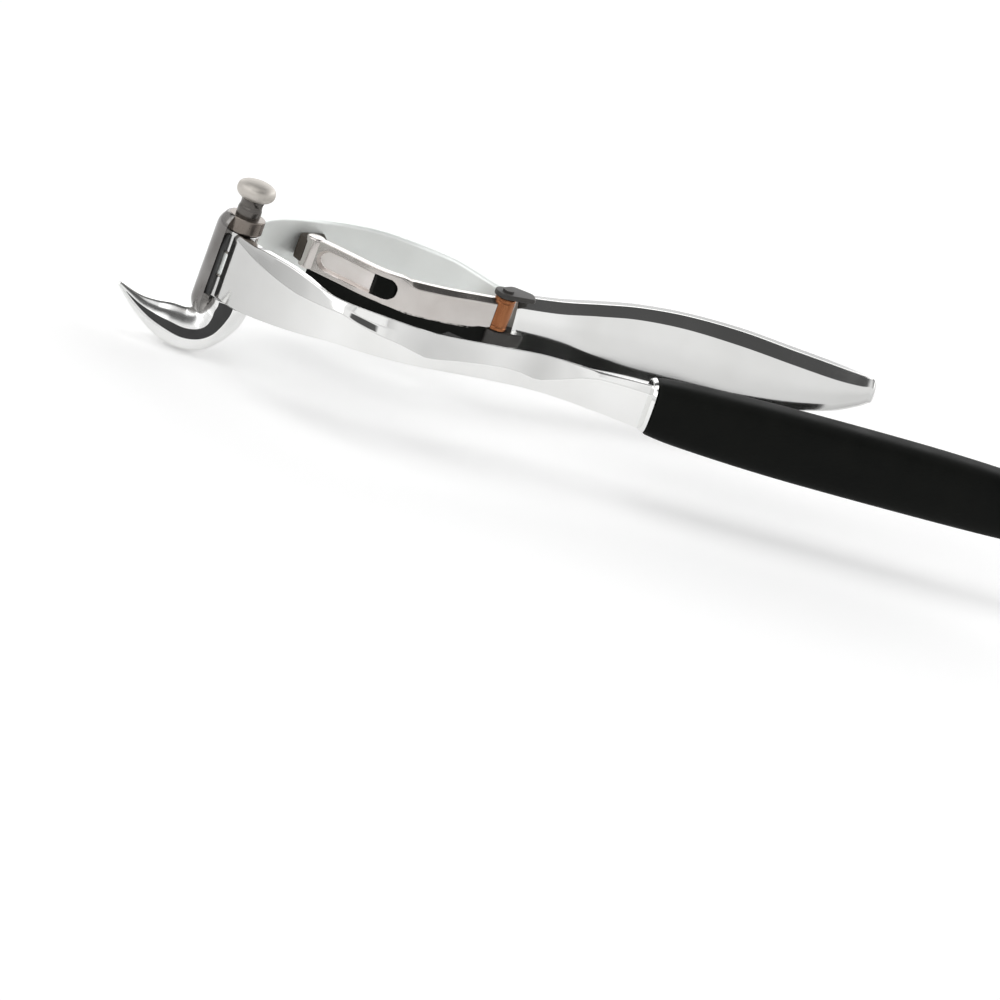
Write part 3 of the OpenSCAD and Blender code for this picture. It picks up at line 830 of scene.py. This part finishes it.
def make_reflection_strips(path, d, belly, plastic):
    """A black strip let into each side of the horn, as a painted dark reflection: a band between two heights
    of the horn's section, a hair proud of it, which runs from the root to near the tip and narrows there to
    a point."""
    tip, proud, let_in = -19.0, 0.04, 0.3
    keep = ((path[:, 0] > tip) & (path[:, 0] < -12)) | ((path[:, 1] < -7.5) & (path[:, 0] > -12.1))
    path, d, belly = path[keep], d[keep], belly[keep]
    root = ease((path[:, 1] + 15.5) / 5) * (path[:, 0] > -5)
    wide = np.sqrt(np.clip((path[:, 0] - tip) / 6, 0.002, 1))
    middle = -0.015 + 0.265 * root
    half = (0.225 + 0.105 * root) * wide
    off = middle[:, None] + half[:, None] * np.linspace(-1, 1, 14) + belly
    turn = 1.5 * math.pi - np.arcsin(np.clip(off / np.where(off > 0, 1 + belly, 1 - belly), -0.99, 0.99))
    r = HORN_R * path[:, 2:3]
    outer = horn_ring(path, d, r + proud, turn, belly)
    inner = horn_ring(path, d, r - let_in * np.minimum(1, r / 2), turn[:, ::-1], belly)
    strip = np.concatenate([outer, inner], 1)
    other_side = strip * np.array([1, -1, 1])
    piece("hook_reflection_strips", [strip, other_side], plastic, "grip_side", sharp=50)


def make_strap(finish):
    """The strap bent over the hinge: a section of radius and height carried round the pin through 79
    degrees and drawn in a little towards its two edges."""
    section = np.array([[3.87, -7.3], [3.87, 7.3], [3.0, 7.36], [3.0, 10.5], [4.1, 10.5], [5.45, 8.4],
                        [5.45, -9.6], [4.6, -11.4], [3.0, -11.4], [3.0, -7.36]])
    ring = soft_corners(section[None], [0.3, 0.3, 0.2, 0.2, 0.9, 1.3, 1.2, 0.6, 0.2, 0.2])[0]
    turn = np.linspace(-STRAP_HALF_ANGLE, STRAP_HALF_ANGLE, 40)
    taper = 1 - 0.035 * (np.abs(turn) / STRAP_HALF_ANGLE) ** 8
    rings = ring * np.stack([taper, np.ones_like(taper)], -1)[:, None]
    strap = swept(rings, np.radians(180 + turn))
    # The strap's plating is a darker copy of the horn's, as painted shade.
    piece("hook_strap", [strap], finish, "grip_side")


def make_shade_liner(plastic):
    """The black liner of the strap, as painted shade: a section inside the strap's wall, carried from behind
    the strap's near edge to a little past it, so that it shows as a dark line of shade round the front
    knuckles."""
    section = np.array([[3.78, -7.2], [3.78, 6.4], [4.3, 6.4], [4.9, 4.0], [4.9, -5.6], [4.6, -7.2]])
    ring = soft_corners(section[None], [0.1, 0.2, 0.2, 0.8, 0.8, 0.5])[0]
    turn = np.linspace(STRAP_HALF_ANGLE - 3.5, STRAP_HALF_ANGLE + 7.5, 8)
    liner = swept(ring, np.radians(180 + turn))
    piece("hook_shade_liner", [liner], plastic, "grip_side")


def make_hook(horn_finish, shaded_strap_finish, shaded_ear_finish, plastic):
    """The hook: its horn with the black strips of painted reflection, the strap over the hinge with its
    liner of painted shade, and the ear on top of the hinge, which the knob's neck slides through. The strap
    and the ear are plated darker than the horn, as painted shade."""
    make_horn(horn_finish, plastic)
    make_strap(shaded_strap_finish)
    make_shade_liner(plastic)
    # The ear's plating is a darker, browner copy of the hook's, as painted shade.
    ear = barrel(inner=2.72, outer=3.95, low=7.37, high=10.52, edge=0.35, turns=5)
    piece("upper_ear", [ear], shaded_ear_finish, "grip_side")


# The knob and the handles

HANDLE_START, HANDLE_END = 63.9, 146.4
HANDLE_TIP, HANDLE_TIP_R = 1.1, 1.12


def make_knob(nickel, dark):
    """The knob: a turned neck with a waist, and a head with a rounded rim under a low dome. The neck's
    plating is darker than the head's, as painted shade under the head.
    """
    neck = rounded_profile([[0.05, 9.45], [2.55, 9.45], [2.55, 12.2], [2.3, 12.9], [2.35, 13.8],
                            [2.75, 14.6], [2.6, 15.0], [0.05, 15.0]], 0.4)
    head = rounded_profile([[0.05, 14.35], [2.9, 14.35], [3.7, 14.9], [4.1, 15.6], [4.1, 16.5],
                            [3.8, 17.2], [2.9, 17.75], [1.5, 18.05], [0.05, 18.15]], 0.6, 5)
    piece("knob_head", [turned(head)], nickel, "knob", ["lock_knob"], sharp=50)
    piece("knob_neck", [turned(neck)], dark, "knob", sharp=50)


def make_handle(chrome):
    """The chrome handle: ten-cornered sections carried along the tool. The near face leans back in one
    soft bend, over a short steep slope; a slope above it leads to the top, and the far side is round. The
    end closes in a round tip. The table holds (along, near side, far side, top of the near face, top, low
    edge of the near face, underside)."""
    table = [[HANDLE_START, 13.3, 22.7, 3.0, 4.4, -1.8, -6.4], [74, 16.0, 26.4, 3.3, 4.8, -2.5, -7.1],
             [83, 19.4, 30.9, 3.9, 5.3, -4.4, -7.7], [92, 22.6, 34.6, 4.4, 5.8, -5.7, -8.0],
             [103, 25.7, 38.0, 4.2, 5.8, -6.4, -8.7], [116, 28.7, 41.0, 3.1, 5.0, -6.8, -8.9],
             [128, 31.4, 42.9, 1.7, 3.6, -6.1, -8.3], [138, 34.1, 43.9, 0.6, 2.5, -4.6, -6.7],
             [144, 36.6, 43.8, 0.1, 1.8, -3.2, -4.9], [HANDLE_END, 38.0, 43.2, 0.0, 1.5, -2.6, -3.9]]
    tip = HANDLE_END + HANDLE_TIP * np.sin(quarter(10))[1:]
    x = np.concatenate([np.linspace(HANDLE_START, HANDLE_END, 190), tip])
    near, far, near_top, top, near_low, low = read_off(table, np.minimum(x, HANDLE_END)).T
    width, height, rise = far - near, top - low, near_top - near_low
    depth = np.minimum(0.36 * rise, 0.42 * width)
    bottom = low + 0.55
    face = near + 0.23 * (near_low - bottom)
    corners = sections((near, bottom), (face, near_low), (face + 0.4 * depth, near_low + 0.45 * rise),
                       (face + depth, near_top - 0.4), (face + depth + 0.22 * width, top - 0.1),
                       (far - 0.1 * width, top - 0.62), (far, top - 0.3 * height),
                       (far, low + 0.28 * height), (far - 0.2 * width, low), (near + 0.3 * width, low))
    ring = soft_corners(corners, [0.25, 0.4, 3, 0.25, 0.4, 1.0, 1.6, 1.6, 1.6, 0.6], 5)
    round_tip = np.sqrt(np.clip(1 - ((x - HANDLE_END) / HANDLE_TIP_R) ** 2, 0, 1))
    first = np.clip((x - HANDLE_START) / 0.6, 0, 1)
    round_start = 1 - 0.06 * (1 - np.sqrt(1 - (1 - first) ** 2))
    close = np.where(x > HANDLE_END, round_tip, 1) * round_start
    handle = across(x, shrunk(ring, close[:, None, None]))
    piece("chrome_handle", [handle], chrome, "lever_side", ["lever_shell"])


def make_sleeve(rubber):
    """The black grip's sleeve: a superellipse section that swells towards the middle, with a rounded lip
    at both ends. The table holds (along, beside, up, width, height)."""
    table = [[89, -16.2, 0, 8.7, 11.5], [97, -16.2, 0, 10.2, 13], [118, -16, 0, 11, 14.4],
             [148, -15.8, 0.2, 11.2, 14.4], [168, -15.8, 0.2, 10.4, 13.4], [174, -15.8, 0.2, 9.1, 11.9]]
    start, lip, end, tail = GRIP_START + 0.02, 0.7, 173.5, 0.5
    front, back = quarter(8)[:-1], quarter(8)[1:]
    middle = np.linspace(start + lip, end, 120)
    x = np.concatenate([start + lip * (1 - np.cos(front)), middle, end + tail * np.sin(back)])
    inset = np.concatenate([lip * (1 - np.sin(front)), np.zeros_like(middle), tail * (1 - np.cos(back))])
    beside, up, width, height = read_off(table, x).T
    box = rounded_box(width - 2 * inset, height - 2 * inset, power=3.1)
    ring = box + np.stack([beside, up], -1)[:, None]
    # A smaller copy of the first ring lies flat inside it, as the sleeve's front face.
    ring = np.concatenate([shrunk(ring[:1], 0.3), ring])
    x = np.concatenate([x[:1], x])
    piece("soft_grip", [across(x, ring)], rubber, "grip_side", ["grip_sleeve"])


def make_end_cap(plastic):
    """The cap that closes the grip: superellipse sections that shrink over a round edge and then change
    into the circles of the screw's hole. share is the section's share of its full size, and hole is the
    circle's share of the section."""
    turn = quarter(9)
    x = np.concatenate([[174.02, 174.3, 175.4], 175.8 + 2.15 * np.sin(turn),
                        [177.97, 177.97, 177.6, 176.3, 176.25]])
    share = np.concatenate([[0.97, 0.985, 1.0], 1 - 0.36 * (1 - np.cos(turn)), [0.6, 0.55, 0.5, 0.5, 0.1]])
    outside = np.zeros(3 + len(turn))
    hole = np.concatenate([outside, [0.3, 1, 1, 1, 1]])[:, None, None]
    radius = np.concatenate([outside, [3.2, 2.62, 2.5, 2.5, 0.3]])[:, None]
    width, height, beside, up = 8.9, 11.7, -15.8, 0.2
    oval = rounded_box(width * share, height * share, power=3.0) + np.array([beside, up])
    t = np.linspace(0, 2 * math.pi, GRIP_SIDES, endpoint=False)
    circle = np.stack([TANG_SIDE + radius * np.cos(t), radius * np.sin(t)], -1)
    ring = oval * (1 - hole) + circle * hole
    piece("grip_end_cap", [across(x, ring)], plastic, "grip_side", ["grip_cap"])


def make_collar(chrome):
    """The thin bright collar in front of the sleeve: superellipse sections with a rounded rim."""
    x = np.array([88.0, 88.12, 88.5, 88.86, 88.98])
    width = np.array([7.2, 7.9, 8.35, 8.55, 8.2])
    taller = 2.9
    ring = rounded_box(width, width + taller, power=3.0) + np.array([TANG_SIDE, 0.0])
    piece("bright_collar", [across(x, ring)], chrome, "grip_side", ["grip_ferrule"])


def dress_inside(steel, nickel, plastic, dark):
    """The CAD nodes whose shapes are kept get their finishes."""
    steel_nodes = ("hinge_sleeve", "arm_spring", "hook_dowel", "tang_screw", "knob_spring", "lock_rod",
                   "lock_key")
    # The jaw's pin takes the lugs' near-black plating, painted shade.
    for finish, names in ((steel, steel_nodes), (dark, ("jaw_pin",)), (nickel, ("hinge_washers",)),
                          (plastic, ("grip_core",))):
        for name in names:
            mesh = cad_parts[name].data
            mesh.materials.clear()
            mesh.materials.append(finish)


make_camera()
make_studio()

chrome = polished_chrome("polished_chrome")
# Painted shade: the near band's chrome darkens towards the hinge, and the handle's towards its tip.
shaded_band_chrome = shaded_along(polished_chrome("shaded_band_chrome"), tone=0.70, shade_end=-0.031, unshaded_end=-0.012)
shaded_handle_chrome = shaded_along(polished_chrome("shaded_handle_chrome"), tone=0.80, shade_end=0.125, unshaded_end=0.035)
nickel = satin_nickel()
steel = plain_steel()
copper = copper_bush()
plastic = moulded_plastic()
rubber = soft_rubber("soft_rubber", (0.002, 0.0025, 0.002), (0.005, 0.0055, 0.0045))
grey_rubber = soft_rubber("grey_rubber", (0.05, 0.042, 0.035), (0.085, 0.073, 0.062))

# Low tint, high tint, least and most roughness, and how metallic where it isn't fully.
brushed = {name: brushed_chrome(name, *values) for name, values in (
    # Painted shade: the knob's neck, darker than its head.
    ("neck_shade_plating", ((0.085, 0.08, 0.075), (0.15, 0.14, 0.13), 0.18, 0.28)),
    # Painted shade: the strap's darker copy of the horn's plating.
    ("strap_shade_plating", ((0.165, 0.157, 0.15), (0.255, 0.247, 0.24), 0.14, 0.24)),
    ("pale_plating", ((0.91, 0.94, 0.92), (0.96, 0.99, 0.97), 0.42, 0.52, 0.55)),
    ("jaw_plating", ((0.55, 0.515, 0.49), (0.64, 0.61, 0.585), 0.14, 0.22)),
    # Painted highlight: the pocket's floor, lighter than the jaw round it.
    ("pocket_highlight_plating", ((0.82, 0.77, 0.74), (0.92, 0.88, 0.86), 0.34, 0.44)),
    # Painted shade: the lugs and the jaw's pin, plated near black.
    ("lug_shade_plating", ((0.03, 0.028, 0.026), (0.06, 0.056, 0.052), 0.45, 0.55, 0.2)),
    # Painted shade: the ear's darker, browner copy of the hook's plating.
    ("ear_shade_plating", ((0.155, 0.132, 0.114), (0.23, 0.203, 0.18), 0.20, 0.32)),
    ("horn_plating", ((0.80, 0.80, 0.79), (0.87, 0.87, 0.86), 0.16, 0.24)))}

make_near_band(shaded_band_chrome)
make_far_band(brushed["pale_plating"], brushed["lug_shade_plating"])
make_jaw(brushed["jaw_plating"], brushed["pocket_highlight_plating"])
make_pocket_shade_insert(rubber)
make_shade_guard(rubber)
make_bush(copper)
make_bumper(grey_rubber)
make_cork_pad(rubber)
make_hook(brushed["horn_plating"], brushed["strap_shade_plating"], brushed["ear_shade_plating"], plastic)
make_knob(nickel, brushed["neck_shade_plating"])
make_handle(shaded_handle_chrome)
make_sleeve(rubber)
make_end_cap(plastic)
make_collar(chrome)
dress_inside(steel, nickel, plastic, brushed["lug_shade_plating"])

bpy.context.scene.view_settings.view_transform = "Standard"
